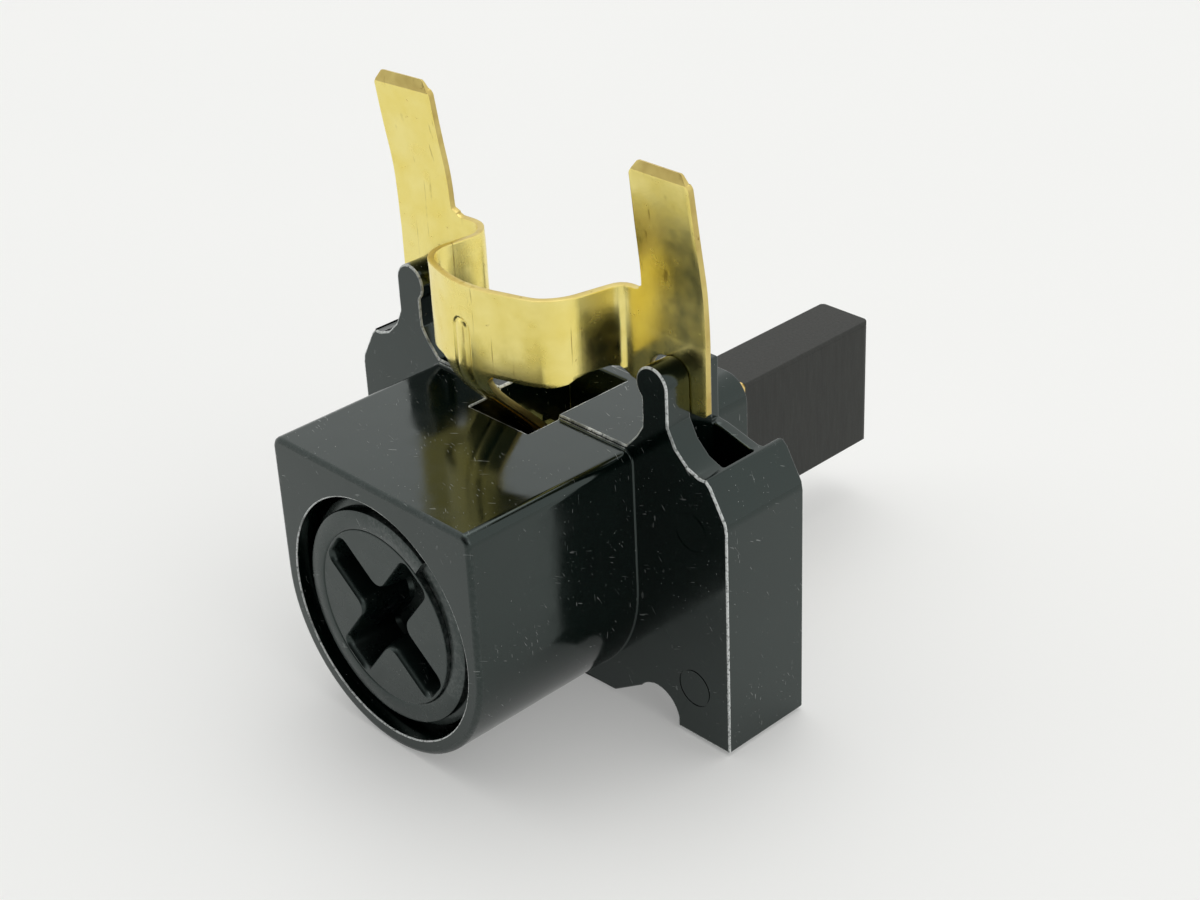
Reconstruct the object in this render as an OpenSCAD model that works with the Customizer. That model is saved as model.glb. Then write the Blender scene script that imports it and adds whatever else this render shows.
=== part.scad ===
// Carbon brush holder for a universal motor.
// Millimetres. X is across the wings, +Y runs from the screw cap to the brush tip, +Z is up.
// Each module is written about the brush axis, with y = 0 at the boss's front face.
// place() moves it to the part's frame: base at z = 0, middle of the bounding box at x = y = 0.

/* [Boss] */
// Radius of the boss's round underside
boss_r = 11; // [9:0.1:13]
// Height of the boss's flat top above the brush axis
boss_top = 11.5; // [10:0.1:13]
// Rounding of the boss's two top corners
boss_corner_r = 0.9; // [0.3:0.1:2]
// Length of the boss in front of the flange
boss_len = 15.8; // [12:0.1:20]
// Radius of the threaded bore for the cap
bore_r = 9.77; // [8:0.01:10]
// Depth of the threaded bore
bore_depth = 8.4; // [6:0.1:10]

/* [Flange] */
// Thickness of the flange plate
flange_t = 2.4; // [1.5:0.1:4]
// Half width over the wings
wing_x = 20.1; // [16:0.1:24]
// Height of the flange's flat top above the axis
flange_top = 11.9; // [11:0.1:14]
// Depth of the flange's foot below the axis
foot_z = 10.75; // [9:0.05:11]
// Width of the sloping shoulder at a wing's top corner
shoulder_w = 1.9; // [1:0.1:4]
// Height of the sloping shoulder
shoulder_h = 3.5; // [1:0.1:5]
// Inner edge of a wing's foot
foot_in_x = 14.7; // [12:0.1:16]
// Radius of the arch beside a foot
arch_r = 2.2; // [1:0.1:3]
// Half width of the middle foot
mid_foot_x = 8; // [6:0.1:10]

/* [Wings] */
// Rear end of the wings and the centre block
wing_back = 24; // [20:0.1:28]
// Thickness of a wing's side wall
wing_t = 2.4; // [1:0.1:3]
// Half width of the centre block
block_x = 11.2; // [10:0.1:12]
// Front of the rear plate
plate_y = 21.3; // [19:0.1:23]
// Thickness of the rear plate
plate_t = 1; // [0.6:0.1:2]

/* [Fingers] */
// Middle of the finger's bulb
bulb_x = 13.1; // [12:0.1:15]
// Height of the bulb's middle above the axis
bulb_z = 17.6; // [15:0.1:20]
// Radius of the bulb
bulb_r = 1.5; // [1:0.1:2.5]
// Inner side of a finger's neck
neck_x = 12.1; // [11:0.1:14]
// Inner side of the finger and of its ridge
ridge_in = 11.6; // [11:0.1:14]
// Outer side of the ridge
ridge_out = 13.8; // [13:0.1:16]
// Height of the ridge's middle above the axis
ridge_z = 17.4; // [15:0.1:20]
// Height of the finger's post on the rear plate
post_top = 17.7; // [15:0.1:20]

/* [Slot and sleeve] */
// Half width of the contact slot
slot_x = 3.25; // [2:0.05:4]
// Front end of the contact slot
slot_y = 12.75; // [10:0.05:15]
// Rear end of the slot
slot_end = 23; // [20:0.1:23.5]
// Half width of the sleeve
sleeve_x = 5.6; // [5:0.1:8]
// Half height of the sleeve
sleeve_z = 8.5; // [7:0.1:10]
// Corner radius of the sleeve
sleeve_r = 2.3; // [1:0.1:4]
// Rear end of the sleeve
sleeve_back = 34; // [30:0.1:38]

/* [Brush tube] */
// Half width of the tube outside
tube_x = 3.5; // [3:0.05:5]
// Half height of the tube outside
tube_z = 6.5; // [5:0.05:8]
// Wall of the tube
tube_wall = 0.6; // [0.3:0.05:1]
// Rear end of the tube
tube_back = 36; // [32:0.1:40]
// Play between the tube and its seat
tube_play = 0.05; // [0.02:0.01:0.1]

/* [Carbon brush] */
// Half width of the carbon
brush_x = 2.8; // [2:0.05:4]
// Half height of the carbon
brush_z = 5.8; // [4:0.05:7]
// Front end of the carbon
brush_front = 28.4; // [24:0.1:32]
// Tip of the carbon
brush_tip = 52.6; // [40:0.1:60]
// Chamfer on the carbon's edges
brush_edge = 0.5; // [0.1:0.1:1]

/* [Screw cap] */
// Depth of the cap's face inside the boss
cap_face = 0.45; // [0:0.05:1.5]
// Radius of the cap's plain rim
cap_rim_r = 8.6; // [7:0.1:9.5]
// Length of the plain rim
cap_rim_len = 1.25; // [0.5:0.05:3]
// Radius over the cap's thread
cap_thread_r = 9.7; // [8:0.01:10]
// Inner end of the cap
cap_back = 7.6; // [6:0.1:9]
// Reach of the recess's arms
recess_reach = 6.7; // [4:0.1:7.5]
// Half width of an arm
recess_half = 1.4; // [0.5:0.1:2]
// Radius of the recess's middle
recess_mid_r = 2.5; // [1:0.1:4]
// Depth of the recess
recess_depth = 4.4; // [1:0.1:5]
// Turn of the recess from level
recess_turn = 52; // [0:1:90]

/* [Brush head] */
// Half width of the contact plate
head_x = 3.9; // [3:0.1:6]
// Half height of the contact plate
head_z = 6.8; // [5:0.1:7]
// Radius of the stub inside the spring
stub_r = 1.6; // [1:0.1:2]
// Length of the stub
stub_len = 1.6; // [1:0.1:3]

/* [Spring and shunt] */
// Radius to the middle of the spring's wire
coil_r = 2.3; // [1.5:0.05:2.5]
// Radius of the spring's wire
wire_r = 0.25; // [0.15:0.05:0.4]
// Number of turns
turns = 11; // [6:1:16]
// Radius of the shunt lead
lead_r = 0.7; // [0.3:0.05:1]
// Sideways slack of the shunt lead
lead_slack = 0.6; // [0:0.1:1]
// Radius of the plug in the carbon
plug_r = 1.6; // [1:0.1:2.5]
// Length of the plug
plug_len = 3; // [1:0.1:5]

/* [Terminal clip] */
// Thickness of the brass strip
strip_t = 0.5; // [0.4:0.05:1]
// Lower edge of the band
band_low = 16.4; // [14:0.1:18]
// Upper edge of the band
band_high = 23.2; // [20:0.1:26]
// Width of a blade tab
tab_w = 6.3; // [4.8:0.1:9.5]
// Inner edge of a blade tab
tab_in = 9.9; // [8:0.1:12]
// Top of the right tab
tab_top = 33.9; // [28:0.1:36]
// Top of the left tab
left_top = 34.1; // [28:0.1:36]
// Forward lean of a tab's tip
tab_lean = 1.5; // [0:0.1:2]
// Turn of the left tab about the vertical
left_turn = 5.4; // [0:0.1:10]
// Half width of the notch over the ridge
notch_x = 1.95; // [1.5:0.05:2.5]
// Top of the notch
notch_top = 18.85; // [17:0.05:20]
// Bottom of the outer leg
leg_low = 15; // [13:0.1:17]
// Left edge of the spring tongue
tongue_left = 3.2; // [2:0.1:4]
// Right edge of the spring tongue
tongue_right = 1.3; // [0.5:0.1:3]

/* [Hidden] */
$fn = 48;
e = 0.01;
flange_y = boss_len;
flange_back = flange_y + flange_t;
mid_y = brush_tip / 2;
head_front = cap_back;
head_back = bore_depth;
notch_mid = ridge_in + (ridge_out - ridge_in) / 2 - 0.3;
strip_y = flange_back;

// Moves a piece from the brush axis to the part's frame.
module place() {
  translate([0, -mid_y, boss_r]) children();
}

// A profile in X and Z, drawn from y0 to y1.
module along_y(y0, y1) {
  translate([0, y1, 0]) rotate([90, 0, 0]) linear_extrude(y1 - y0) children();
}

// A profile in Y and Z, drawn from x0 to x1.
module along_x(x0, x1) {
  translate([x0, 0, 0]) rotate([90, 0, 90]) linear_extrude(x1 - x0) children();
}

// The same shape on both sides of the middle plane.
module both() {
  children();
  mirror([1, 0, 0]) children();
}

// A rectangle of half size hx by hz with round corners.
module round_rect(hx, hz, r) {
  square([2 * hx - 2 * r, 2 * hz], center = true);
  square([2 * hx, 2 * hz - 2 * r], center = true);
  for (sx = [-1, 1]) for (sz = [-1, 1])
    translate([sx * (hx - r), sz * (hz - r)]) circle(r);
}

// A rectangle of half size hx by hz with small chamfers.
module cut_rect(hx, hz, c) {
  polygon([[-hx + c, -hz], [hx - c, -hz], [hx, -hz + c], [hx, hz - c],
           [hx - c, hz], [-hx + c, hz], [-hx, hz - c], [-hx, -hz + c]]);
}

// Points of an arc about [cx, cy] from angle a0 to a1 in n steps.
function arc(cx, cy, r, a0, a1, n) =
  [for (i = [0:n]) let (a = a0 + (a1 - a0) * i / n) [cx + r * cos(a), cy + r * sin(a)]];

// Points of a list in the opposite order.
function back(p) = [for (i = [len(p) - 1:-1:0]) p[i]];

// D-shaped outline of the boss.
module boss_outline() {
  circle(boss_r, $fn = 96);
  translate([-boss_r, 0]) square([2 * boss_r, boss_top - boss_corner_r]);
  translate([-boss_r + boss_corner_r, 0]) square([2 * (boss_r - boss_corner_r), boss_top]);
  both() translate([boss_r - boss_corner_r, boss_top - boss_corner_r]) circle(boss_corner_r);
}

// Outline of the flange plate without its fingers.
module plate_outline() {
  difference() {
    union() {
      translate([-wing_x, -foot_z]) square([2 * wing_x, foot_z + flange_top - shoulder_h]);
      translate([-wing_x + shoulder_w, 0]) square([2 * (wing_x - shoulder_w), flange_top]);
      both() polygon([[wing_x - shoulder_w - e, flange_top - shoulder_h - e],
        [wing_x, flange_top - shoulder_h - e], [wing_x - 0.12, flange_top - 0.8 * shoulder_h],
        [wing_x - 0.8 * shoulder_w, flange_top - 0.1 * shoulder_h],
        [wing_x - shoulder_w - e, flange_top]]);
    }
    both() translate([foot_in_x - arch_r + 0.15, -foot_z + 0.45]) circle(arch_r);
    both() polygon([[mid_foot_x, -foot_z - e], [mid_foot_x, -foot_z], [10.9, -8.95],
                    [foot_in_x - arch_r, -8.5], [foot_in_x, -foot_z - e]]);
  }
}

// Outline of one finger on the flange's top edge.
module finger_outline() {
  translate([bulb_x, bulb_z]) circle(bulb_r);
  translate([neck_x, flange_top - 1]) square([bulb_x + bulb_r - neck_x, bulb_z - flange_top + 1]);
  polygon([[10.3, flange_top - e], [11.4, 13.1], [12.05, 14.1], [neck_x + e, 15], [13, 15],
           [14.6, 14.8], [15.3, 13.4], [16.4, 12.35], [17.6, flange_top - e]]);
}

// Rounded outline of the ridge behind a finger.
module ridge_outline() {
  ridge_r = (ridge_out - ridge_in) / 2;
  translate([ridge_in, flange_top - 2]) square([2 * ridge_r, ridge_z - flange_top + 2]);
  translate([ridge_in + ridge_r, ridge_z]) circle(ridge_r);
}

// Outline of the post and the sloping shoulder on the rear plate.
module post_outline() {
  translate([ridge_in, flange_top - 2]) square([ridge_out - ridge_in - 0.3, post_top - flange_top + 2]);
  polygon([[10.8, flange_top - e], [12.2, 13], [14.5, 12.65], [17.3, flange_top - e]]);
}

// Black moulding: boss, flange, wings, fingers and sleeve.
module holder_body() {
  place() color([0.05, 0.055, 0.06]) difference() {
    union() {
      along_y(0, flange_y + e) boss_outline();
      along_y(flange_y, flange_back) plate_outline();
      both() along_y(flange_y, flange_back) finger_outline();
      // centre block
      along_y(flange_back - e, wing_back) intersection() {
        plate_outline();
        square([2 * block_x, 40], center = true);
      }
      // side walls and feet of the wings
      both() along_y(flange_back - e, wing_back) intersection() {
        plate_outline();
        union() {
          translate([wing_x - wing_t, -20]) square([wing_t + 1, 40]);
          translate([foot_in_x - 1, -foot_z - 1]) square([8, wing_t + 1]);
        }
      }
      // rear plate with its posts
      along_y(plate_y, plate_y + plate_t) plate_outline();
      both() along_y(plate_y, plate_y + plate_t) post_outline();
      both() along_y(flange_back - e, plate_y + e) ridge_outline();
      along_y(wing_back - e, sleeve_back) round_rect(sleeve_x, sleeve_z, sleeve_r);
    }
    // bore for the cap
    along_y(-1, bore_depth) circle(bore_r, $fn = 96);
    // seat for the tube
    along_y(bore_depth - e, sleeve_back + 1)
      square([2 * (tube_x + tube_play), 2 * (tube_z + tube_play)], center = true);
    // slot down to the tube
    translate([-slot_x, slot_y, tube_z]) cube([2 * slot_x, slot_end - slot_y, 10]);
  }
}

// Brass box tube that guides the carbon.
module brush_tube() {
  place() color([0.78, 0.62, 0.3]) along_y(bore_depth, tube_back) difference() {
    square([2 * tube_x, 2 * tube_z], center = true);
    square([2 * (tube_x - tube_wall), 2 * (tube_z - tube_wall)], center = true);
  }
}

// Plan of the bowed band, front edge out and rear edge back.
module band_plan() {
  t = strip_t;
  front = concat(
    [[-10.4, strip_y + 0.2]],
    arc(-8.3, 16.7, 1.9, 90 + left_turn, -8, 7),
    arc(-3.9, 14.2, 2.9, 172, 248, 6),
    arc(-0.5, 20.6, 10, 250, 293, 8),
    arc(3.05, 15.75, 4.4, 300, 352, 5),
    arc(10.1, strip_y - 2.2, 2.2, 178, 90, 6),
    [[tab_in + 0.6, strip_y]]);
  rear = concat(
    [[-10.4, strip_y + 0.2 + t]],
    arc(-8.3, 16.7, 1.9 + t, 90 + left_turn, -8, 7),
    arc(-3.9, 14.2, 2.9 - t, 172, 248, 6),
    arc(-0.5, 20.6, 10 - t, 250, 293, 8),
    arc(3.05, 15.75, 4.4 - t, 300, 352, 5),
    arc(10.1, strip_y - 2.2, 2.2 + t, 178, 90, 6),
    [[tab_in + 0.6, strip_y + t]]);
  polygon(concat(front, back(rear)));
}

// One blade tab with its legs, standing at y = 0 to strip_t, leaning forward above the band.
module blade(top, inner_low) {
  lean = atan(tab_lean / (top - band_high));
  difference() {
    union() {
      along_y(0, strip_t) polygon([[tab_in, inner_low], [tab_in + tab_w, leg_low],
        [tab_in + tab_w, band_high + 1], [tab_in, band_high + 1]]);
      translate([0, 0, band_high]) rotate([lean, 0, 0]) along_y(0, strip_t)
        polygon([[tab_in, 0], [tab_in + tab_w, 0], [tab_in + tab_w, top - band_high - 1],
                 [tab_in + tab_w - 0.6, top - band_high], [tab_in + 0.6, top - band_high],
                 [tab_in, top - band_high - 1]]);
    }
    // notch that straddles the ridge
    along_y(-1, 2) translate([notch_mid, notch_top - notch_x]) circle(notch_x);
    along_y(-1, 2) translate([notch_mid - notch_x, 10]) square([2 * notch_x, notch_top - notch_x - 10]);
  }
}

// Side view of the spring tongue, which ends flat on the tube.
module tongue_side() {
  t = strip_t;
  polygon([[10.62, band_low + 0.5], [10.66, band_low], [10.95, 15.2], [11.7, 13.6], [12.6, 12.55],
           [15.2, 9.9], [17.9, 7.2], [18.6, tube_z], [20.2, tube_z], [20.6, tube_z + 0.5],
           [19.9, tube_z + t], [18.9, tube_z + t], [15.8, 10.5], [13.2, 13.1], [12.4, 14.0],
           [11.75, 15.4], [11.46, band_low], [11.42, band_low + 0.5]]);
}

// One-piece brass strip: two blade tabs, bowed band and spring tongue.
module terminal_clip() {
  place() color([0.86, 0.7, 0.36]) {
    translate([0, 0, band_low]) linear_extrude(band_high - band_low) band_plan();
    translate([0, strip_y, 0]) blade(tab_top, band_low);
    translate([-8.48, strip_y + 0.39, 0]) rotate([0, 0, left_turn]) translate([8.48, 0, 0])
      mirror([1, 0, 0]) blade(left_top, band_low);
    along_x(-tongue_left, tongue_right) tongue_side();
  }
}

// Screw cap with a cross recess.
module brush_cap() {
  place() color([0.07, 0.075, 0.08]) difference() {
    union() {
      along_y(cap_face, cap_face + cap_rim_len + e) circle(cap_rim_r, $fn = 96);
      along_y(cap_face + cap_rim_len, cap_back) circle(cap_thread_r, $fn = 96);
    }
    along_y(cap_face - 1, cap_face + recess_depth) rotate(recess_turn) {
      square([2 * recess_reach, 2 * recess_half], center = true);
      square([2 * recess_half, 2 * recess_reach], center = true);
      circle(recess_mid_r);
    }
  }
}

// Brass contact plate that the cap presses on the tube, with a stub for the spring.
module brush_head() {
  place() color([0.78, 0.62, 0.3]) {
    along_y(head_front, head_back) cut_rect(head_x, head_z, 1);
    along_y(head_back - e, head_back + stub_len) circle(stub_r);
  }
}

// Triangles of a tube of m sides around n + 1 rings, closed at both ends.
function tube_faces(n, m) = concat(
  [for (i = [0:n - 1]) for (j = [0:m - 1]) [i * m + j, i * m + (j + 1) % m, (i + 1) * m + (j + 1) % m]],
  [for (i = [0:n - 1]) for (j = [0:m - 1]) [i * m + j, (i + 1) * m + (j + 1) % m, (i + 1) * m + j]],
  [[for (j = [m - 1:-1:0]) j]],
  [[for (j = [0:m - 1]) n * m + j]]);

// Compression spring between the head and the carbon.
module brush_spring() {
  y0 = head_back + wire_r + 0.02;
  y1 = brush_front - wire_r - 0.02;
  n = turns * 16;
  m = 8;
  // the end turns lie flat, the others share the length
  function rise(k) = let (d = 2 * wire_r + 0.02, u = k * turns)
    u < 1 ? d * u : u > turns - 1 ? (y1 - y0) - d * (turns - u)
    : d + (y1 - y0 - 2 * d) * (u - 1) / (turns - 2);
  pts = [for (i = [0:n]) for (j = [0:m - 1])
    let (a = 360 * turns * i / n, b = 360 * j / m, r = coil_r + wire_r * cos(b))
    [r * cos(a), y0 + rise(i / n) + wire_r * sin(b), r * sin(a)]];
  place() color([0.6, 0.61, 0.63]) polyhedron(pts, tube_faces(n, m));
}

// Braided copper lead, slack inside the spring.
module shunt_lead() {
  y0 = head_back + stub_len;
  y1 = brush_front;
  n = 24;
  m = 12;
  pts = [for (i = [0:n]) for (j = [0:m - 1])
    let (b = 360 * j / m, s = lead_slack * sin(720 * i / n))
    [s + lead_r * cos(b), y0 + (y1 - y0) * i / n, lead_r * sin(b)]];
  place() color([0.72, 0.43, 0.26]) polyhedron(pts, tube_faces(n, m));
}

// Plug that anchors the lead in the carbon.
module shunt_plug() {
  place() color([0.62, 0.4, 0.26]) along_y(brush_front, brush_front + plug_len) circle(plug_r);
}

// Carbon block with chamfered edges and a socket for the plug.
module carbon_brush() {
  place() color([0.2, 0.205, 0.2]) difference() {
    intersection() {
      along_y(brush_front, brush_tip) cut_rect(brush_x, brush_z, 0.25);
      translate([0, (brush_front + brush_tip) / 2, -brush_z - 1]) linear_extrude(2 * brush_z + 2)
        cut_rect(brush_x, (brush_tip - brush_front) / 2, brush_edge);
    }
    along_y(brush_front - 1, brush_front + plug_len) circle(plug_r);
  }
}

holder_body();
brush_tube();
terminal_clip();
brush_cap();
brush_head();
brush_spring();
shunt_lead();
shunt_plug();
carbon_brush();
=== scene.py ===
"""Carbon brush holder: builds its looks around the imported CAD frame."""

import math

import bmesh
import bpy
from mathutils import Matrix, Vector


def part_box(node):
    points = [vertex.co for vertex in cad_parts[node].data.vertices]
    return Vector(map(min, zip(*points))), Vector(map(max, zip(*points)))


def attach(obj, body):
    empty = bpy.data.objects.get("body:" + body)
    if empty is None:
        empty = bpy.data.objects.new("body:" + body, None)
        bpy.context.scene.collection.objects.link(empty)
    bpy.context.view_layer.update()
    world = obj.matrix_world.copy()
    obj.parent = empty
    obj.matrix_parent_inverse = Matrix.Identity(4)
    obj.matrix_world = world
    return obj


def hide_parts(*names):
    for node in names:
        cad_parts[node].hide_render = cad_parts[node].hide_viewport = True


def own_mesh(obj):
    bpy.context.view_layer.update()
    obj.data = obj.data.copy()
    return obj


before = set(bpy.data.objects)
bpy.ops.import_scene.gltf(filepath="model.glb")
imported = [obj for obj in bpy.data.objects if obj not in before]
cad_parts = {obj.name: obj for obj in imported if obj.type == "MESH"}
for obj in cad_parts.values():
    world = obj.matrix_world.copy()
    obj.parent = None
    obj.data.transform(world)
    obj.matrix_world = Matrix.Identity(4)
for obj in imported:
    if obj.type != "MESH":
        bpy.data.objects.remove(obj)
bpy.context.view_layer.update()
MM = 0.001
TAU = 2 * math.pi

# ---------------------------------------------------------------- frame
body_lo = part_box("holder_body")[0]
carbon_lo, carbon_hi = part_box("carbon_brush")
cap_lo, cap_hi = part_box("brush_cap")
plug_lo, plug_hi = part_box("shunt_plug")
spring_lo, spring_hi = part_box("brush_spring")
# The brush axis at the boss's front face: every shape below is in millimetres about this point.
ORIGIN = Vector((0.0, body_lo.y, (carbon_lo.z + carbon_hi.z) / 2))


def at(x, y, z):
    """A point in millimetres about the brush axis, in the shared frame in metres."""
    return ORIGIN + Vector((x, y, z)) * MM


def mm(p):
    """A point of the shared frame in millimetres about the brush axis."""
    return (Vector(p) - ORIGIN) / MM


# ---------------------------------------------------------------- sizes, mm
BORE_R = 9.77
FLANGE_Y = 15.8  # the flange's front face
STRIP_T = 0.5
BAND_LOW, BAND_HIGH = 16.4, 23.2  # the clip's band between its blades
TAB_W = 6.15
TAB_TOP, LEFT_TOP = 33.9, 34.1
COIN = 0.75  # height of the thinned end of each blade
LEFT_OUT, RIGHT_OUT = 16.15, 16.1  # the blades' outer edges, from the brush axis


# ---------------------------------------------------------------- mesh helpers
def new_object(name, bm, materials, smooth_angle=None):
    """A mesh object from bm, with its materials."""
    mesh = bpy.data.meshes.new(name)
    bmesh.ops.recalc_face_normals(bm, faces=bm.faces)
    bm.to_mesh(mesh)
    bm.free()
    obj = bpy.data.objects.new(name, mesh)
    bpy.context.scene.collection.objects.link(obj)
    for m in materials:
        mesh.materials.append(m)
    if smooth_angle is not None:
        soften(obj, smooth_angle)
    return obj


def soften(obj, degrees, weighted=False):
    """Smooth shading with edges sharper than the angle kept crisp; weighted keeps large faces flat."""
    for p in obj.data.polygons:
        p.use_smooth = True
    obj.data.set_sharp_from_angle(angle=math.radians(degrees))
    if weighted:
        m = obj.modifiers.new("flat", "WEIGHTED_NORMAL")
        m.mode = "FACE_AREA"
        m.weight = 100
        m.keep_sharp = True
        apply_all(obj)


def apply_all(obj):
    """Turns the object's modifiers into its mesh."""
    dg = bpy.context.evaluated_depsgraph_get()
    mesh = bpy.data.meshes.new_from_object(obj.evaluated_get(dg))
    obj.modifiers.clear()
    obj.data = mesh


def cut(obj, tools):
    """Takes each tool's volume out of the object, and deletes the tools."""
    for tool in tools:
        m = obj.modifiers.new("cut", "BOOLEAN")
        m.operation = "DIFFERENCE"
        m.solver = "EXACT"
        m.object = tool
    apply_all(obj)
    for tool in tools:
        bpy.data.objects.remove(tool)


def edge_weights(obj, rule):
    """Marks each hard edge with the bevel width, in mm, that rule gives for it."""
    bm = bmesh.new()
    bm.from_mesh(obj.data)
    layers = bm.edges.layers.float
    layer = layers.get("bevel_weight_edge") or layers.new("bevel_weight_edge")
    for e in bm.edges:
        if len(e.link_faces) != 2:
            continue
        if e.calc_face_angle(0) < math.radians(24):
            continue
        e[layer] = rule(mm(e.verts[0].co), mm(e.verts[1].co), e.is_convex)
    bm.to_mesh(obj.data)
    bm.free()


def bevel(obj, width=1.0, segments=3, material=-1, by_weight=True, angle=40, clamp=False):
    """A bevel modifier, applied at once."""
    m = obj.modifiers.new("bevel", "BEVEL")
    m.width = width * MM
    m.segments = segments
    m.limit_method = "WEIGHT" if by_weight else "ANGLE"
    m.angle_limit = math.radians(angle)
    m.material = material
    m.use_clamp_overlap = clamp
    m.miter_outer = "MITER_ARC"
    apply_all(obj)


def from_cad(node, name, materials):
    """A copy of a CAD node with its flat faces joined into single polygons."""
    bm = bmesh.new()
    bm.from_mesh(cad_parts[node].data)
    bmesh.ops.remove_doubles(bm, verts=bm.verts, dist=0.002 * MM)
    bmesh.ops.dissolve_limit(bm, angle_limit=math.radians(0.6), verts=bm.verts, edges=bm.edges)
    obj = new_object(name, bm, materials)
    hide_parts(node)
    return obj


def ring_loops(bm, loops, capped=True):
    """Faces between successive closed loops of points, and over the first and last loop."""
    rows = [[bm.verts.new(p) for p in loop] for loop in loops]
    n = len(rows[0])
    for a, b in zip(rows, rows[1:]):
        for j in range(n):
            k = (j + 1) % n
            bm.faces.new((a[j], a[k], b[k], b[j]))
    if capped:
        bm.faces.new(list(reversed(rows[0])))
        bm.faces.new(rows[-1])


def sweep(bm, path, radius, sides):
    """A closed round tube along a path of points in mm."""
    pts = [Vector(p) for p in path]
    up = Vector((0, 0, 1))
    loops = []
    for i, p in enumerate(pts):
        d = (pts[min(i + 1, len(pts) - 1)] - pts[max(i - 1, 0)]).normalized()
        side = d.cross(up)
        if side.length < 0.2:
            side = d.cross(Vector((1, 0, 0)))
        side.normalize()
        up = side.cross(d).normalized()
        turns = [TAU * j / sides for j in range(sides)]
        loops.append([at(*(p + side * (radius * math.cos(a)) + up * (radius * math.sin(a)))) for a in turns])
    ring_loops(bm, loops)


def arc(cx, cy, r, a0, a1, n):
    """Points of an arc from angle a0 to a1 in degrees, in n steps."""
    angles = [math.radians(a0 + (a1 - a0) * i / n) for i in range(n + 1)]
    return [(cx + r * math.cos(a), cy + r * math.sin(a)) for a in angles]


def ease(x, a, b):
    """0 below a, 1 above b, smooth between them."""
    t = min(max((x - a) / (b - a), 0.0), 1.0)
    return t * t * (3 - 2 * t)


# ---------------------------------------------------------------- material helpers
class Paint:
    """A material under construction, in object coordinates scaled to millimetres."""

    def __init__(self, name, **sockets):
        self.material = bpy.data.materials.new(name)
        self.material.use_nodes = True
        self.tree = self.material.node_tree
        self.bsdf = self.tree.nodes["Principled BSDF"]
        for key, value in sockets.items():
            self.bsdf.inputs[key.replace("_", " ")].default_value = value
        coords = self.add("ShaderNodeTexCoord")
        scale = self.add("ShaderNodeVectorMath", {0: coords.outputs["Object"]}, operation="SCALE")
        scale.inputs["Scale"].default_value = 1000
        self.mm = scale.outputs[0]

    def add(self, kind, links=None, **props):
        """A new node, its inputs set or linked by links and its settings by props."""
        node = self.tree.nodes.new(kind)
        for key, value in props.items():
            setattr(node, key, value)
        for key, value in (links or {}).items():
            self.plug(value, node.inputs[key])
        return node

    def plug(self, value, socket):
        if isinstance(value, bpy.types.NodeSocket):
            self.tree.links.new(value, socket)
        else:
            socket.default_value = value

    def set(self, key, value):
        self.plug(value, self.bsdf.inputs[key])

    def stretch(self, x, y, z):
        """The millimetre coordinates multiplied by a factor along each axis."""
        return self.add("ShaderNodeVectorMath", {0: self.mm, 1: (x, y, z)}, operation="MULTIPLY").outputs[0]

    def noise(self, scale, detail=3.0, rough=0.55, vector=None):
        links = {"Vector": vector or self.mm, "Scale": scale, "Detail": detail, "Roughness": rough}
        return self.add("ShaderNodeTexNoise", links).outputs["Fac"]

    def cells(self, scale):
        return self.add("ShaderNodeTexVoronoi", {"Vector": self.mm, "Scale": scale}).outputs["Distance"]

    def remap(self, value, low, high, out_low=0.0, out_high=1.0):
        links = {"Value": value, "From Min": low, "From Max": high, "To Min": out_low, "To Max": out_high}
        return self.add("ShaderNodeMapRange", links).outputs[0]

    def math(self, operation, a, b):
        return self.add("ShaderNodeMath", {0: a, 1: b}, operation=operation).outputs[0]

    def mix(self, factor, a, b):
        node = self.add("ShaderNodeMix", data_type="RGBA")
        self.plug(factor, node.inputs["Factor"])
        self.plug(a, node.inputs["A"])
        self.plug(b, node.inputs["B"])
        return node.outputs["Result"]

    def bump(self, height, strength, distance, normal=None):
        node = self.add("ShaderNodeBump", {"Height": height, "Strength": strength, "Distance": distance * MM})
        if normal is not None:
            self.plug(normal, node.inputs["Normal"])
        return node.outputs[0]


def rgb(r, g, b):
    return (r, g, b, 1.0)


PALE = rgb(0.68, 0.70, 0.69)  # scuffed plastic
TARNISH, DIE_MARK = rgb(0.28, 0.17, 0.04), rgb(0.30, 0.20, 0.04)


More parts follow.
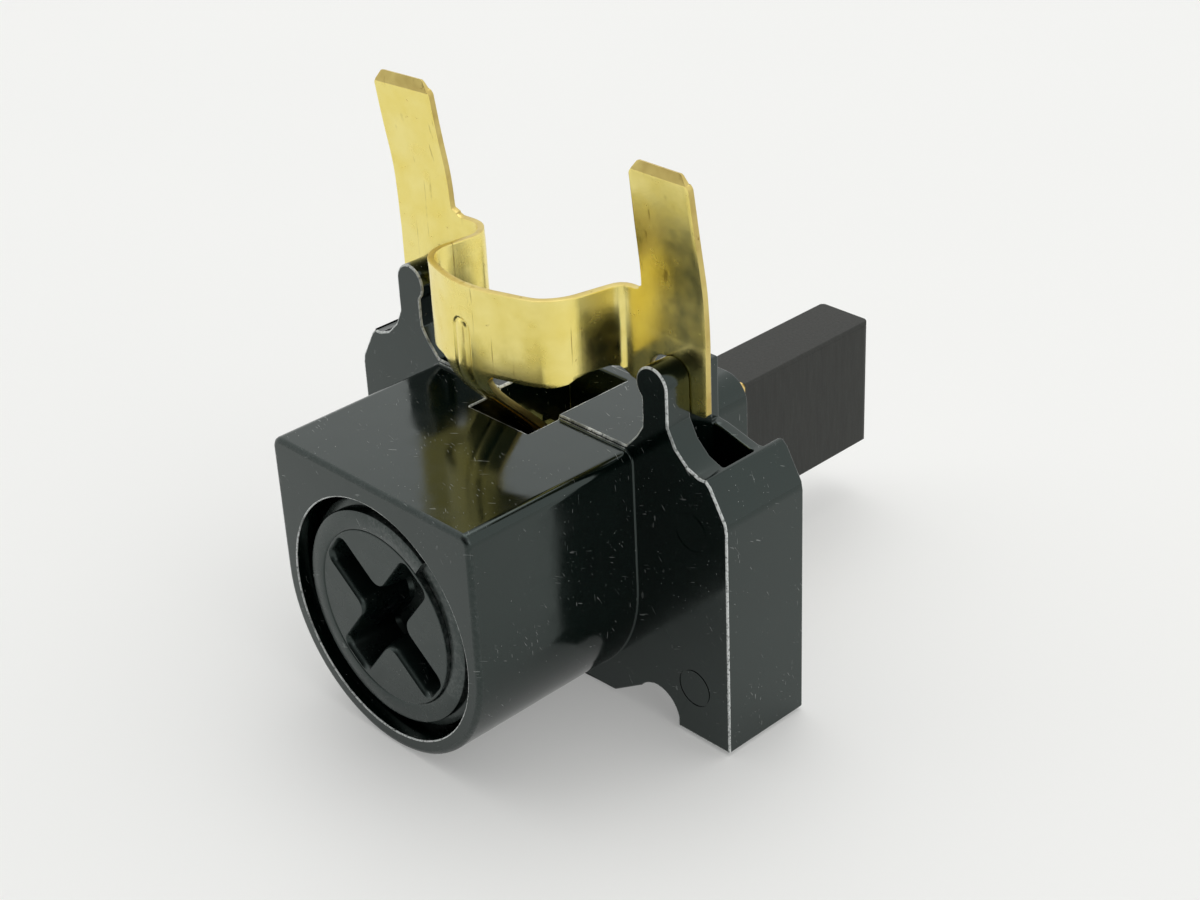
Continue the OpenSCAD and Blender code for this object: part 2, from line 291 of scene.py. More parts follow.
def plastic(name, base, light, rough, scuffs, edge=0.0, dust=0.0):
    """Moulded black plastic: fine grain, dust specks, short scratches and, on edges, pale wear."""
    p = Paint(name, IOR=1.56)
    p.bsdf.inputs["Specular Tint"].default_value = (0.82, 1.0, 0.95, 1)
    cloud = p.noise(0.22, 4)
    colour = p.mix(p.remap(cloud, 0.35, 0.7), rgb(*base), rgb(*light))
    # specks of pale dust, gathered in patches
    specks = p.remap(p.cells(2.3), 0.085, 0.04)
    patch = p.remap(p.noise(0.35, 2), 0.5, 0.62)
    specks = p.math("MULTIPLY", specks, patch)
    # short hair scratches in three directions
    marks = None
    for turn, squeeze in ((0.5, (0.5, 0.5, 6.0)), (-0.9, (6.0, 0.5, 0.5)), (1.9, (0.6, 5.0, 0.6))):
        turned = p.add("ShaderNodeMapping", {"Vector": p.mm, "Rotation": (turn, turn * 0.7, turn)})
        lines = p.add("ShaderNodeVectorMath", {0: turned.outputs[0], 1: squeeze}, operation="MULTIPLY")
        thin = p.remap(p.noise(1.5, 1, 0.5, vector=lines.outputs[0]), 0.735, 0.76)
        marks = thin if marks is None else p.math("MAXIMUM", marks, thin)
    marks = p.math("MULTIPLY", marks, p.remap(p.noise(0.3, 2), 0.5, 0.6))
    pale = p.math("MAXIMUM", specks, p.math("MULTIPLY", marks, 0.4))
    pale = p.math("MULTIPLY", pale, scuffs)
    if dust > 0:
        # a film of fine dust rubbed into the edge
        film = p.remap(p.noise(3.2, 5, 0.75), 0.44, 0.7)
        pale = p.math("MAXIMUM", pale, p.math("MULTIPLY", film, dust))
    if edge > 0:
        # wear breaks the edge into pale and black stretches
        long_gaps = p.remap(p.noise(0.35, 2), 0.34, 0.5, 0.25)
        worn = p.math("MULTIPLY", p.remap(p.noise(4.5, 4, 0.7), 0.34, 0.5), long_gaps)
        pale = p.math("MAXIMUM", pale, p.math("MULTIPLY", worn, edge))
    colour = p.mix(pale, colour, PALE)
    p.set("Base Color", colour)
    smear = p.remap(p.noise(0.5, 3), 0.3, 0.75, rough[0], rough[1])
    p.set("Roughness", p.math("MAXIMUM", smear, p.math("MULTIPLY", pale, 0.6)))
    fine = p.bump(p.noise(9.0, 3), 0.06, 0.02)
    wave = p.bump(p.noise(0.16, 1), 0.2, 0.2, fine)
    p.set("Normal", p.bump(pale, 0.3, 0.03, wave))
    return p.material


def brass(name, base, deep, rough, lines=1.0, tarnish=0.5):
    """Rolled brass: fine drawn lines, soft waviness, hairline die marks and tarnish spots."""
    p = Paint(name, Metallic=1.0)
    cloud = p.noise(0.3, 3, 0.6)
    colour = p.mix(p.remap(cloud, 0.35, 0.7), rgb(*base), rgb(*deep))
    spots = p.math("MULTIPLY", p.remap(p.noise(1.7, 4, 0.7), 0.665, 0.73), tarnish)
    colour = p.mix(spots, colour, TARNISH)
    # long thin die marks down the strip
    die = p.remap(p.noise(1.0, 2, 0.5, vector=p.stretch(2.9, 2.9, 0.045)), 0.655, 0.69)
    die = p.math("MULTIPLY", die, p.remap(p.noise(0.7, 3), 0.38, 0.6, 0.0, 0.7 * lines))
    colour = p.mix(die, colour, DIE_MARK)
    p.set("Base Color", colour)
    smooth = p.remap(p.noise(0.6, 4), 0.3, 0.7, rough[0], rough[1])
    p.set("Roughness", p.math("ADD", smooth, p.math("MULTIPLY", spots, 0.3)))
    normal = p.bump(p.noise(0.14, 1), 0.12, 0.25)
    drawn = p.noise(3.0, 4, 0.7, vector=p.stretch(2.2, 2.2, 0.05))
    normal = p.bump(drawn, 0.16 * lines, 0.02, normal)
    p.set("Normal", p.bump(p.noise(14, 2), 0.05, 0.01, normal))
    return p.material


def carbon_paint(name):
    """Pressed carbon graphite: matte dark grey with fine streaks along the pressing."""
    p = Paint(name, IOR=1.45)
    p.bsdf.inputs["Specular IOR Level"].default_value = 0.4
    streaks = p.noise(1.4, 5, 0.7, vector=p.stretch(2.4, 2.4, 0.25))
    grain = p.noise(5.0, 4, 0.7)
    both = p.math("ADD", p.math("MULTIPLY", streaks, 0.5), p.math("MULTIPLY", grain, 0.5))
    colour = p.mix(p.remap(both, 0.34, 0.68), rgb(0.014, 0.0145, 0.0125), rgb(0.031, 0.033, 0.029))
    glints = p.remap(p.cells(4.0), 0.085, 0.04)
    p.set("Base Color", p.mix(p.math("MULTIPLY", glints, 0.18), colour, rgb(0.3, 0.3, 0.3)))
    p.set("Roughness", p.remap(grain, 0.3, 0.7, 0.48, 0.68))
    p.set("Normal", p.bump(both, 0.3, 0.04))
    return p.material


def wire_paint(name, base, rough, scale):
    """Drawn wire or braid: fine lines and slight colour change."""
    p = Paint(name, Metallic=1.0)
    tone = p.noise(scale, 3)
    p.set("Base Color", p.mix(p.remap(tone, 0.3, 0.7), rgb(*base), rgb(*[c * 0.6 for c in base])))
    p.set("Roughness", p.remap(p.noise(scale * 2, 3), 0.3, 0.7, rough, rough + 0.2))
    p.set("Normal", p.bump(p.noise(scale * 5, 2), 0.2, 0.02))
    return p.material


BLACK = plastic("black_plastic", (0.0004, 0.002, 0.0014), (0.0012, 0.004, 0.003), (0.08, 0.19), 0.6)
WORN = plastic("worn_plastic", (0.002, 0.004, 0.0035), (0.006, 0.009, 0.008), (0.25, 0.4), 0.6, edge=1.0)
RUBBED = plastic("rubbed_plastic", (0.001, 0.003, 0.0025), (0.004, 0.006, 0.0055), (0.22, 0.36), 0.6,
                 dust=0.035)
CAP = plastic("cap_plastic", (0.0015, 0.0045, 0.0035), (0.005, 0.009, 0.008), (0.22, 0.36), 0.5)
# a paler, dustier copy of the cap's plastic for the ring round the step: dust, and painted sheen where the
# ring catches the light
DUST_AND_SHEEN = plastic("dust_and_sheen_plastic", (0.004, 0.008, 0.007), (0.010, 0.015, 0.014), (0.25, 0.4), 0.8, dust=0.12)
CLIP = brass("clip_brass", (0.90, 0.78, 0.28), (0.86, 0.71, 0.18), (0.17, 0.29))
# a darker copy of the clip's brass for the coined tips and the sheared rim: painted shade, with a rougher
# finish and heavier tarnish
CLIP_SHADED_EDGE = brass("clip_brass_shaded_edge", (0.66, 0.54, 0.19), (0.50, 0.37, 0.11), (0.28, 0.45), tarnish=0.8)
TUBE = brass("tube_brass", (0.80, 0.60, 0.24), (0.62, 0.43, 0.14), (0.24, 0.40))
CARBON = carbon_paint("carbon")
SPRING = wire_paint("spring_steel", (0.55, 0.56, 0.58), 0.22, 1.5)
COPPER = wire_paint("copper_braid", (0.80, 0.40, 0.22), 0.3, 2.0)


# ---------------------------------------------------------------- black moulding
def ring_groove(x, z, radius, half, y, depth):
    """A cutter for a thin circular groove in a face that looks along -Y."""
    bm = bmesh.new()
    inner, outer = radius - half, radius + half
    above, below = y - 0.2, y + depth
    turns = [TAU * i / 40 for i in range(40)]
    rows = [[at(x + r * math.cos(a), level, z + r * math.sin(a)) for a in turns]
            for r, level in ((inner, above), (outer, above), (outer, below), (inner, below))]
    ring_loops(bm, rows + [rows[0]], capped=False)
    bmesh.ops.remove_doubles(bm, verts=bm.verts, dist=1e-7)
    return new_object("tool", bm, [])


# ejector marks on the right wing, in X and Z
RINGS = [(16.65, z) for z in (7.15, -6.4)]
RING_R, RING_GROOVE = 1.5, 0.06


def in_ring(p):
    """True at the shallow circles in the flange's front face."""
    return abs(p.y - FLANGE_Y) < 0.4 and any(math.hypot(p.x - x, p.z - z) < 2.0 for x, z in RINGS)


def both_at(a, b, y):
    """True where an edge from a to b lies in the plane at y."""
    return abs(a.y - y) < 0.03 and abs(b.y - y) < 0.03


def body_rule(a, b, convex):
    """Width in mm of the rounding on each hard edge of the moulding."""
    m = (a + b) / 2
    if both_at(a, b, FLANGE_Y) and not convex:
        # fillet between the boss and the flange
        return 0.16
    if in_ring(m):
        return 0.0
    if (a - b).length < 0.35 and abs(abs(m.x) - 11.75) < 0.3 and abs(m.z - 17.75) < 0.6 and m.y > 18:
        # the small steps where a finger's round end meets its post are too fine to round
        return 0.0
    if not convex:
        return 0.08
    if both_at(a, b, 0):
        # the bore's mouth, or the boss's front outline
        return 0.10 if math.hypot(m.x, m.z) < BORE_R + 0.2 else 0.42
    if both_at(a, b, FLANGE_Y):
        return 0.15
    if m.y > FLANGE_Y + 1:
        return 0.18
    if abs(m.x) > 9 and m.z > 9 and m.y < FLANGE_Y:
        # the boss's two long top edges
        return 0.3
    return 0.13


def make_body():
    obj = from_cad("holder_body", "body_moulding", [BLACK, WORN, RUBBED])
    cut(obj, [ring_groove(x, z, RING_R, RING_GROOVE, FLANGE_Y, RING_GROOVE) for x, z in RINGS])
    edge_weights(obj, body_rule)
    bevel(obj, 1.0, 3, material=1)
    bm = bmesh.new()
    bm.from_mesh(obj.data)
    # pale wear stays on the flange's front outline, the slot's rim and the bore's edge
    for f in bm.faces:
        if f.material_index != 1:
            continue
        c = mm(f.calc_center_median())
        under_boss_top = abs(c.x) < 12.2 and c.z < 11.6 or math.hypot(c.x, c.z) < 12.2
        outline = abs(c.y - FLANGE_Y) < 0.2 and not under_boss_top
        bore = c.y < 0.2 and math.hypot(c.x, c.z) < BORE_R + 0.25
        slot_rim = abs(c.x) < 3.6 and c.z > 11 and 10 < c.y < 20
        if not (outline or bore or slot_rim):
            f.material_index = 2 if c.y < 0.6 or in_ring(c) else 0
    bm.to_mesh(obj.data)
    bm.free()
    soften(obj, 32, weighted=True)
    return obj


# ---------------------------------------------------------------- screw cap
STEP_AT = 53.0  # angle of the step in the ring round the cap's disc, in degrees


def recess_outline(half, reach, fillet, corner):
    """Closed outline of a cross with round inner corners."""
    points = []
    for k in range(4):
        arm = (
            arc(reach - corner, -half + corner, corner, -90, 0, 4)
            + arc(reach - corner, half - corner, corner, 0, 90, 4)
            + arc(half + fillet, half + fillet, fillet, -90, -180, 7)
        )
        turn = Matrix.Rotation(k * math.pi / 2, 2)
        points += [tuple(turn @ Vector(p)) for p in arm]
    return points


def make_cap():
    face, back = mm(cap_lo).y, mm(cap_hi).y
    rim, disc, body_r, shoulder = 8.6, 7.0, 9.05, 9.27
    n = 240

    def drop(theta):
        """How far the ring outside the disc lies below the face at this angle."""
        behind = (STEP_AT - theta) % 360
        return 0.5 * (1 - behind / 150) if behind < 150 else 0.0

    def loop(r, y, follow):
        """A circle of the cap at radius r, which follows the step where follow is 1."""
        pts = []
        for i in range(n):
            # the first point sits just past the step, so that the step is one column wide
            theta = STEP_AT - 0.1 - 359.8 * i / (n - 1)
            a = math.radians(theta)
            pts.append(at(r * math.cos(a), y + follow * drop(theta), r * math.sin(a)))
        return pts

    profile = [
        (disc - 0.10, face, 0), (disc - 0.02, face + 0.04, 0), (disc, face + 0.10, 0),
        (disc + 0.01, face + 0.10, 1), (disc + 0.08, face + 0.03, 1), (disc + 0.2, face, 1),
        (rim - 0.25, face, 1), (rim - 0.07, face + 0.07, 1), (rim, face + 0.25, 1), (rim, face + 0.95, 0),
        (body_r, face + 1.0, 0), (shoulder - 0.07, face + 1.06, 0), (shoulder, face + 1.2, 0),
        (shoulder, face + 1.4, 0), (body_r, face + 1.5, 0), (body_r, back - 0.6, 0), (rim, back, 0),
    ]
    bm = bmesh.new()
    ring_loops(bm, [loop(*row) for row in profile])
    obj = new_object("cap_screw", bm, [CAP, DUST_AND_SHEEN])
    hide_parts("brush_cap")
    # cross recess with draft and a soft floor
    bm = bmesh.new()
    turn = Matrix.Rotation(math.radians(52), 2)
    levels = [
        (-0.5, recess_outline(1.85, 7.0, 0.8, 0.8)), (0.0, recess_outline(1.62, 6.8, 1.0, 0.8)),
        (0.16, recess_outline(1.5, 6.68, 1.12, 0.8)), (0.5, recess_outline(1.42, 6.6, 1.2, 0.8)),
        (4.1, recess_outline(1.05, 6.0, 1.5, 0.7)), (4.4, recess_outline(0.8, 5.7, 1.7, 0.6)),
    ]
    rings = []
    for depth, outline in levels:
        turned = [turn @ Vector(p) for p in outline]
        rings.append([at(q.x, face + depth, q.y) for q in turned])
    ring_loops(bm, rings)
    cut(obj, [new_object("tool", bm, [])])
    # paler, dusty stretch of the ring on both sides of the step, and the rim of its wall: dust, and painted
    # sheen where the ring catches the light
    for f in obj.data.polygons:
        c = mm(f.center)
        r, theta = math.hypot(c.x, c.z), math.degrees(math.atan2(c.z, c.x))
        if disc - 0.05 < r < rim + 0.1 and -30 < theta < 95 and c.y < face + 1.0:
            f.material_index = 1
    soften(obj, 34, weighted=True)
    return obj


def make_thread():
    """A ridge round the cap, which fades in behind the plain rim and out again at its end."""
    bm = bmesh.new()
    turns, rise = 2.4, 1.8
    start_y, start_angle = mm(cap_lo).y + 1.9, math.radians(STEP_AT)
    steps = int(turns * 72)
    root, top = 8.9, 9.62
    loops = []
    for i in range(steps + 1):
        a = start_angle - TAU * turns * i / steps
        y = start_y + rise * turns * i / steps
        swell = min(ease(i, 0, 14), ease(steps - i, 0, 14))
        crest = 9.0 + (top - 9.0) * swell
        loops.append([
            at(r * math.cos(a), y + dy, r * math.sin(a))
            for r, dy in ((root, -0.55), (crest, -0.14), (crest, 0.14), (root, 0.55))
        ])
    ring_loops(bm, loops)
    obj = new_object("cap_thread", bm, [CAP], 40)
    return obj


# ---------------------------------------------------------------- brass clip
class Line:
    """A polyline read by its length."""

    def __init__(self, points):
        self.points = [Vector(p) for p in points]
        self.at = [0.0]
        for a, b in zip(self.points, self.points[1:]):
            self.at.append(self.at[-1] + (b - a).length)

    def __call__(self, s):
        s = min(max(s, 0.0), self.at[-1])
        k = next((i for i in range(1, len(self.at)) if self.at[i] >= s), len(self.at) - 1)
        t = (s - self.at[k - 1]) / max(self.at[k] - self.at[k - 1], 1e-9)
        return self.points[k - 1].lerp(self.points[k], t)

    def length_at_x(self, x):
        for k in range(1, len(self.points)):
            a, b = self.points[k - 1], self.points[k]
            if a.x <= x <= b.x:
                return self.at[k - 1] + (x - a.x) / (b.x - a.x) * (self.at[k] - self.at[k - 1])
        return self.at[-1]


def smooth_path(points, rounds=3):
    pts = [Vector(p) for p in points]
    for _ in range(rounds):
        pts = [pts[0]] + [(a + b * 2 + c) / 4 for a, b, c in zip(pts, pts[1:], pts[2:])] + [pts[-1]]
    return pts


def band_path():
    """Front line of the strip in plan, from the left blade's outer edge to the right blade's."""
    left_turn = math.radians(5.4)
    left_bend = arc(-8.3, 16.7, 1.9, 95.4, -8, 12)
    root_x, root_y = left_bend[0]
    width = LEFT_OUT + root_x
    path = [(root_x - width * math.cos(left_turn) * k / 12, root_y - width * math.sin(left_turn) * k / 12)
            for k in range(12, 0, -1)]
    path += left_bend
    path += arc(-3.9, 14.2, 2.9, 172, 250, 12)
    path += arc(-0.5, 20.6, 10, 251, 291, 24)
    path += arc(3.05, 15.75, 4.5, 298, 350, 14)
    right_root = 8.95
    path += arc(right_root, 17.25, 0.95, 176, 90, 8)
    path += [(right_root + (RIGHT_OUT - right_root) * k / 14, 18.2) for k in range(1, 15)]
    return path


# the strip is drawn flat, by its length s along the band and its height z, and then bent
BAND = Line(smooth_path(band_path()))
S_END = BAND.at[-1]
LEFT_IN, RIGHT_IN = TAB_W, S_END - TAB_W
# the notches that the finger ridges hold, under each blade
NOTCH_X, NOTCH_R, NOTCH_Z = 12.4, 1.88, 17.0
S_NOTCH_LEFT, S_NOTCH_RIGHT = LEFT_OUT - NOTCH_X, S_END - (RIGHT_OUT - NOTCH_X)
LEG_END = 15.1
# the tongue under the band, as a line in Y and Z
S_TONGUE = (BAND.length_at_x(-3.3), BAND.length_at_x(1.3))
TONGUE_Y = 10.62
TONGUE = Line(smooth_path([
    (TONGUE_Y, BAND_LOW), (10.72, 15.9), (10.92, 15.35), (11.24, 14.8), (11.7, 14.2), (12.3, 13.6),
    (12.9, 13.02), (14.1, 11.82), (15.3, 10.6), (16.6, 9.2), (17.7, 7.9), (18.25, 7.2), (18.8, 6.75),
    (19.4, 6.57), (20.0, 6.62), (20.6, 7.0)], 1))
TONGUE_END = BAND_LOW - TONGUE.at[-1]
# the pressed rib down the band and the tongue
S_RIB, RIB_TOP, RIB_R = BAND.length_at_x(-0.9), 19.6, 0.75


def blade_tip(s0, s1, top):
    """Outline of a blade's tip from its s0 side to its s1 side."""
    w = 0.8 if s1 > s0 else -0.8
    return [(s0, top - 1.15), (s0 + w * 0.06, top - 1.0), (s0 + w * 0.94, top - 0.1), (s0 + w * 1.15, top),
            (s1 - w * 1.15, top), (s1 - w * 0.94, top - 0.1), (s1 - w * 0.06, top - 1.0), (s1, top - 1.15)]


def strip_outline():
    """Outline of the flat strip, from the right blade's foot over the top and back along the bottom."""
    outline = [(S_END, 15.35), (S_END, 22.0)]
    outline += blade_tip(S_END, RIGHT_IN, TAB_TOP)
    outline += [(RIGHT_IN, BAND_HIGH + 0.5), (RIGHT_IN - 0.12, BAND_HIGH + 0.15),
                (RIGHT_IN - 0.45, BAND_HIGH)]
    outline += [(LEFT_IN + 0.45, BAND_HIGH), (LEFT_IN + 0.12, BAND_HIGH + 0.15),
                (LEFT_IN, BAND_HIGH + 0.5)]
    outline += blade_tip(LEFT_IN, 0.0, LEFT_TOP)
    outline += [(0.0, 22.0), (0.0, 15.35), (0.25, LEG_END), (S_NOTCH_LEFT - NOTCH_R - 0.1, LEG_END),
                (S_NOTCH_LEFT - NOTCH_R, 15.25)]
    outline += arc(S_NOTCH_LEFT, NOTCH_Z, NOTCH_R, 180, 0, 14)
    outline += [(S_NOTCH_LEFT + NOTCH_R, 16.3), (S_NOTCH_LEFT + NOTCH_R + 0.2, 15.95), (LEFT_IN + 0.1, 15.9),
                (LEFT_IN + 0.8, BAND_LOW)]
    t0, t1 = S_TONGUE
    outline += [(t0 - 0.5, BAND_LOW), (t0, BAND_LOW - 0.5),
                (t0 + 0.15, TONGUE_END + 0.4), (t0 + 0.5, TONGUE_END),
                (t1 - 0.5, TONGUE_END), (t1 - 0.15, TONGUE_END + 0.4),
                (t1, BAND_LOW - 0.5), (t1 + 0.5, BAND_LOW)]
    # the band's lower edge arches up where it turns into the right blade
    outline += [(BAND.length_at_x(x), z) for x, z in (
        (6.5, BAND_LOW), (7.0, 16.55), (7.25, 16.9), (7.5, 17.1), (7.9, 17.1), (8.15, 16.85), (8.45, 16.4),
        (8.8, 16.05), (9.3, 15.9))]
    outline += [(S_NOTCH_RIGHT - NOTCH_R - 0.2, 15.95), (S_NOTCH_RIGHT - NOTCH_R, 16.3)]
    outline += arc(S_NOTCH_RIGHT, NOTCH_Z, NOTCH_R, 180, 0, 14)
    outline += [(S_NOTCH_RIGHT + NOTCH_R, 15.25), (S_NOTCH_RIGHT + NOTCH_R + 0.1, LEG_END),
                (S_END - 0.25, LEG_END)]
    return outline


def slice_strip(bm):
    """Cuts the flat strip into cells small enough to bend, finer at the coined tips and the rib."""
    def slice_at(point, normal):
        bmesh.ops.bisect_plane(bm, geom=bm.verts[:] + bm.edges[:] + bm.faces[:], plane_co=point,
                               plane_no=normal, dist=1e-5)

    for k in range(1, int(S_END / 0.3)):
        slice_at((k * 0.3, 0, 0), (1, 0, 0))
    z = TONGUE_END + 0.3
    while z < LEFT_TOP:
        slice_at((0, 0, z), (0, 0, 1))
        z += 0.42
    for top in (TAB_TOP, LEFT_TOP):
        for edge in (COIN, COIN + 0.06):
            slice_at((0, 0, top - edge), (0, 0, 1))
    for k in range(4, 13):
        for side in (-1, 1):
            slice_at((S_RIB + side * k * 0.1, 0, 0), (1, 0, 0))
    for k in range(16):
        slice_at((0, 0, RIB_TOP - 0.4 + k * 0.1), (0, 0, 1))
    bmesh.ops.triangulate(bm, faces=[f for f in bm.faces if len(f.verts) > 4])


def bend_point(s, z):
    """Where the flat strip's point (s, z) comes to lie, and the part of its thickness that is left there."""
    on_right = s > S_END / 2
    top = TAB_TOP if on_right else LEFT_TOP
    p = BAND(s)
    d = (BAND(s + 0.3) - BAND(s - 0.3)).normalized()
    # above the band each blade is flat right to its inner edge, and narrows a little towards its tip
    flat_blade = ease(z, BAND_HIGH - 1.5, BAND_HIGH + 0.8)
    height = max(z - BAND_HIGH, 0) / (top - BAND_HIGH)
    if s > RIGHT_IN - 0.01 and flat_blade > 0:
        inward = (S_END - s) * (1 - 0.03 * flat_blade - 0.08 * height) - 0.25 * height
        p = p.lerp(BAND(S_END) - Vector((inward, 0)), flat_blade)
        d = d.lerp(Vector((1, 0)), flat_blade).normalized()
    elif s < LEFT_IN + 0.01 and flat_blade > 0:
        along = (BAND(0.5) - BAND(0)).normalized()
        p = p.lerp(BAND(0) + along * (s * (1 - 0.07 * flat_blade) - 0.22 * height), flat_blade)
        d = d.lerp(along, flat_blade).normalized()
    back = Vector((-d.y, d.x))

    # lean is how far the point lies behind the band's line
    if on_right:
        on_blade = max(ease(s, RIGHT_IN - 1.2, RIGHT_IN + 1.5), flat_blade)
        tilt, belly, belly_z = 1.75, 0.16, 24.5
    else:
        on_blade = max(1 - ease(s, LEFT_IN - 1.5, LEFT_IN + 1.2), flat_blade)
        tilt, belly, belly_z = 1.35, 0.2, 26.0
    lean = -tilt * max((z - 20.5) / (top - 20.5), 0) ** 1.35 * on_blade
    lean += belly * math.exp(-((z - belly_z) / 3.0) ** 2) * on_blade
    # the right blade rolls back towards its outer edge
    lean += 0.05 * ease(s, S_END - 3.4, S_END + 0.4) ** 2
    # a raised line round the rib, and a hollow in its middle
    reach = math.hypot(s - S_RIB, max(z - RIB_TOP, 0))
    lean += 0.1 * (1 - ease(abs(reach - RIB_R), 0.03, 0.2)) - 0.1 * (1 - ease(reach, 0.2, RIB_R))

    coined = max(z - (top - COIN), 0) / COIN * on_blade
    if z < BAND_LOW and S_TONGUE[0] - 0.6 <= s <= S_TONGUE[1] + 0.6:
        u = BAND_LOW - z
        t = TONGUE(u)
        g = (TONGUE(u + 0.2) - TONGUE(u - 0.2)).normalized()
        off_line = (p.y - TONGUE_Y) * (1 - ease(u, 1, 5))
        place = at(p.x, t.x + off_line - g.y * lean, t.y + g.x * lean)
    else:
        q = p + back * (lean + 0.27 * coined)
        place = at(q.x, q.y, z)
    return place, 1 - 0.6 * coined


def make_clip():
    bm = bmesh.new()
    bm.faces.new([bm.verts.new((s, 0, z)) for s, z in strip_outline()])
    slice_strip(bm)
    thin = {}
    for v in bm.verts:
        v.co, thin[v.index] = bend_point(v.co.x, v.co.z)
    # the coined tips take the darker brass: painted shade on their tilted band
    for f in bm.faces:
        if mm(f.calc_center_median()).z > TAB_TOP - COIN:
            f.material_index = 1
    obj = new_object("clip_strip", bm, [CLIP, CLIP_SHADED_EDGE])
    group = obj.vertex_groups.new(name="thin")
    for index, weight in thin.items():
        group.add([index], weight, "REPLACE")
    solid = obj.modifiers.new("solid", "SOLIDIFY")
    solid.thickness = STRIP_T * MM
    # the thickness grows to the rear, whichever way the sheet's normals look
    facing = sum(p.normal.y * p.area for p in obj.data.polygons)
    solid.offset = -1 if facing < 0 else 1
    solid.use_even_offset = True
    solid.vertex_group = "thin"
    # the sheared rim takes the darker brass as well: painted shade
    solid.material_offset_rim = 1
    apply_all(obj)
    bevel(obj, 0.09, 2, by_weight=False, angle=55, clamp=True)
    soften(obj, 38)
    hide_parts("terminal_clip")
    return obj


# ---------------------------------------------------------------- tube, carbon and inner pieces
def make_tube():
    obj = from_cad("brush_tube", "guide_tube", [TUBE])

    def rule(a, b, convex):
        along = abs(a.y - b.y) > 1
        outside = abs((a + b).x) / 2 > 3.2 or abs((a + b).z) / 2 > 6.2
        if along:
            return 0.7 if outside else 0.25
        return 0.1

    edge_weights(obj, rule)
    bevel(obj, 1.0, 4, clamp=True)
    soften(obj, 35, weighted=True)
    return obj


def make_carbon():
    obj = from_cad("carbon_brush", "carbon_block", [CARBON])
    tip = mm(carbon_hi).y

    def rule(a, b, convex):
        upright = abs(a.z - b.z) > 3 and min(a.y, b.y) > tip - 1
        return 0.55 if upright else 0.14

    edge_weights(obj, rule)
    bevel(obj, 1.0, 3, clamp=True)
    soften(obj, 35, weighted=True)
    return obj


def make_head():
    obj = from_cad("brush_head", "contact_plate", [TUBE])
    edge_weights(obj, lambda a, b, convex: 0.12)
    bevel(obj, 1.0, 2, clamp=True)
    soften(obj, 35, weighted=True)
    return obj


def make_spring():
    """Compression spring with closed end turns."""
    wire = 0.25  # the wire's radius
    y0, y1 = mm(spring_lo).y + wire, mm(spring_hi).y - wire
    radius = mm(spring_hi).x - wire
    turns, per_turn = 11, 40
    pitch = 2 * wire + 0.02
    path = []
    for i in range(turns * per_turn + 1):
        u = i / per_turn
        if u < 1:
            y = y0 + pitch * u
        elif u > turns - 1:
            y = y1 - pitch * (turns - u)
        else:
            y = y0 + pitch + (y1 - y0 - 2 * pitch) * (u - 1) / (turns - 2)
        path.append((radius * math.cos(TAU * u), y, radius * math.sin(TAU * u)))
    bm = bmesh.new()
    sweep(bm, path, wire, 10)
    obj = new_object("coil_spring", bm, [SPRING], 50)
    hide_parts("brush_spring")
    return obj


def make_lead():
    """Braided lead: strands that wind both ways round a slack middle line."""
    lead_lo, lead_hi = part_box("shunt_lead")
    y0, y1 = mm(lead_lo).y, mm(lead_hi).y
    bm = bmesh.new()
    strands, laps, steps, core_steps = 6, 5, 140, 60

    def sway(t):
        return 0.6 * math.sin(2 * TAU * t)

    for way in (1, -1):
        for k in range(strands):
            path = []
            for i in range(steps + 1):
                t = i / steps
                a = TAU * (k / strands + way * t * laps)
                weave = 0.46 + 0.05 * way * math.cos(strands * a)
                y = y0 + 0.2 + (y1 - y0 - 0.4) * t
                path.append((sway(t) + weave * math.cos(a), y, weave * math.sin(a)))
            sweep(bm, path, 0.17, 6)
    core = [(sway(i / core_steps), y0 + (y1 - y0) * i / core_steps, 0) for i in range(core_steps + 1)]
    sweep(bm, core, 0.42, 10)
    obj = new_object("braided_lead", bm, [COPPER], 50)
    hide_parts("shunt_lead")
    return obj


def make_plug():
    """Tamped copper plug with a slightly domed, uneven face."""
    y0, y1 = mm(plug_lo).y, mm(plug_hi).y
    r = mm(plug_hi).x
    bm = bmesh.new()
    turns = [TAU * i / 40 for i in range(40)]
    rows = [[at(q * math.cos(a), y + 0.02 * math.sin(5 * a), q * math.sin(a)) for a in turns]
            for q, y in ((0.9, y0 + 0.02), (r * 0.75, y0 + 0.05), (r - 0.05, y0 + 0.12), (r, y0 + 0.25),
                         (r, y1))]
    ring_loops(bm, rows)
    obj = new_object("lead_plug", bm, [COPPER], 40)
    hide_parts("shunt_plug")
    return obj


# ---------------------------------------------------------------- build
body = make_body()
clip = make_clip()
tube = make_tube()
cap = make_cap()
cap_thread = make_thread()
carbon = make_carbon()
head = make_head()
spring = make_spring()
lead = make_lead()
plug = make_plug()

for piece in (body, clip, tube):
    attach(piece, "holder")
for piece in (cap, cap_thread):
    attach(piece, "cap")
for piece in (carbon, plug):
    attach(piece, "brush")
for piece in (head, spring, lead):
    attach(piece, "cap_seat")
for piece in (spring, lead):
    tuple(at(0, mm(spring_lo).y, 0))
    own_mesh(piece)


# ---------------------------------------------------------------- stage
def make_floor():
    """Pale paper that glows a little, as in a light tent."""
    bm = bmesh.new()
    half = 1.2
    bm.faces.new([bm.verts.new((x * half, y * half, 0)) for x, y in ((-1, -1), (1, -1), (1, 1), (-1, 1))])
    paint = Paint("floor", Roughness=0.6)
    tone = paint.noise(0.02, 2)
    paint.set("Base Color", paint.mix(tone, rgb(0.605, 0.607, 0.598), rgb(0.62, 0.622, 0.612)))
    paint.set("Emission Color", rgb(1.0, 1.0, 0.985))
    paint.set("Emission Strength", 0.255)
    floor = new_object("floor", bm, [paint.material])


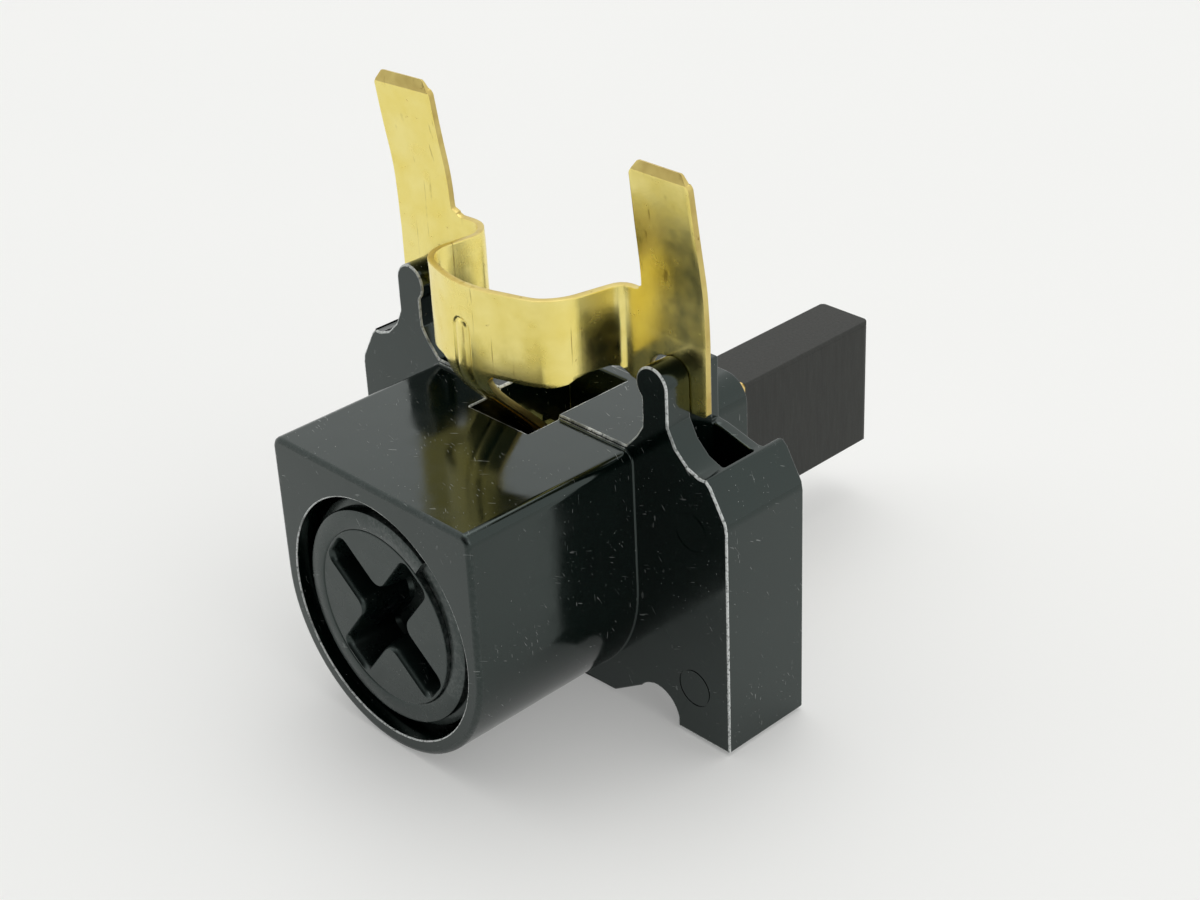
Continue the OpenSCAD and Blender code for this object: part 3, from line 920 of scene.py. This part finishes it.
def area_light(name, place, target, size, power):
    light = bpy.data.lights.new(name, "AREA")
    light.shape = "RECTANGLE"
    light.size, light.size_y = size
    light.energy = power
    obj = bpy.data.objects.new(name, light)
    bpy.context.scene.collection.objects.link(obj)
    obj.location = Vector(place)
    obj.rotation_euler = (Vector(target) - Vector(place)).to_track_quat("-Z", "Y").to_euler()


def make_world(strength, dim, toward, inner, outer):
    """Even white surroundings with a dim patch, where the open side of the light tent would be.

    The patch is centred on the direction toward, full within inner degrees and gone past outer degrees.
    """
    world = bpy.data.worlds.new("studio")
    bpy.context.scene.world = world
    world.use_nodes = True
    tree = world.node_tree
    background = tree.nodes["Background"]
    coords = tree.nodes.new("ShaderNodeTexCoord")
    unit = tree.nodes.new("ShaderNodeVectorMath")
    unit.operation = "NORMALIZE"
    tree.links.new(coords.outputs["Generated"], unit.inputs[0])
    dot = tree.nodes.new("ShaderNodeVectorMath")
    dot.operation = "DOT_PRODUCT"
    dot.inputs[1].default_value = Vector(toward).normalized()
    tree.links.new(unit.outputs[0], dot.inputs[0])
    fall = tree.nodes.new("ShaderNodeMapRange")
    fall.interpolation_type = "SMOOTHSTEP"
    fall.inputs["From Min"].default_value = math.cos(math.radians(outer))
    fall.inputs["From Max"].default_value = math.cos(math.radians(inner))
    fall.inputs["To Min"].default_value = strength
    fall.inputs["To Max"].default_value = dim
    tree.links.new(dot.outputs["Value"], fall.inputs["Value"])
    tree.links.new(fall.outputs[0], background.inputs["Strength"])
    background.inputs["Color"].default_value = (1.0, 1.0, 0.99, 1)


def make_camera():
    """Camera at the photograph's viewing angle, solved from the object's own edges."""
    data = bpy.data.cameras.new("camera")
    data.lens = 65.1
    data.sensor_width = 36
    data.clip_start, data.clip_end = 0.005, 10
    camera = bpy.data.objects.new("camera", data)
    bpy.context.scene.collection.objects.link(camera)
    azimuth, elevation, roll = math.radians(46.997), math.radians(29.422), math.radians(-2.74)
    back = Vector((math.sin(azimuth) * math.cos(elevation), -math.cos(azimuth) * math.cos(elevation),
                   math.sin(elevation)))
    side = Vector((math.cos(azimuth), math.sin(azimuth), 0))
    up = back.cross(side)
    right = side * math.cos(roll) + up * math.sin(roll)
    top = -side * math.sin(roll) + up * math.cos(roll)
    turn = Matrix((right, top, back)).transposed()
    camera.matrix_world = Matrix.Translation(at(108.46, -78.26, 88.27)) @ turn.to_4x4()
    bpy.context.scene.camera = camera


make_floor()
make_world(1.06, 0.05, (0.25, -0.8, 0.45), 24, 62)
centre = (0, 0, 0.015)
area_light("key", (-0.12, 0.12, 0.6), centre, (0.4, 0.4), 0.7)
area_light("side", (0.45, -0.1, 0.35), centre, (0.3, 0.3), 0.25)
make_camera()
bpy.context.scene.view_settings.view_transform = "Standard"
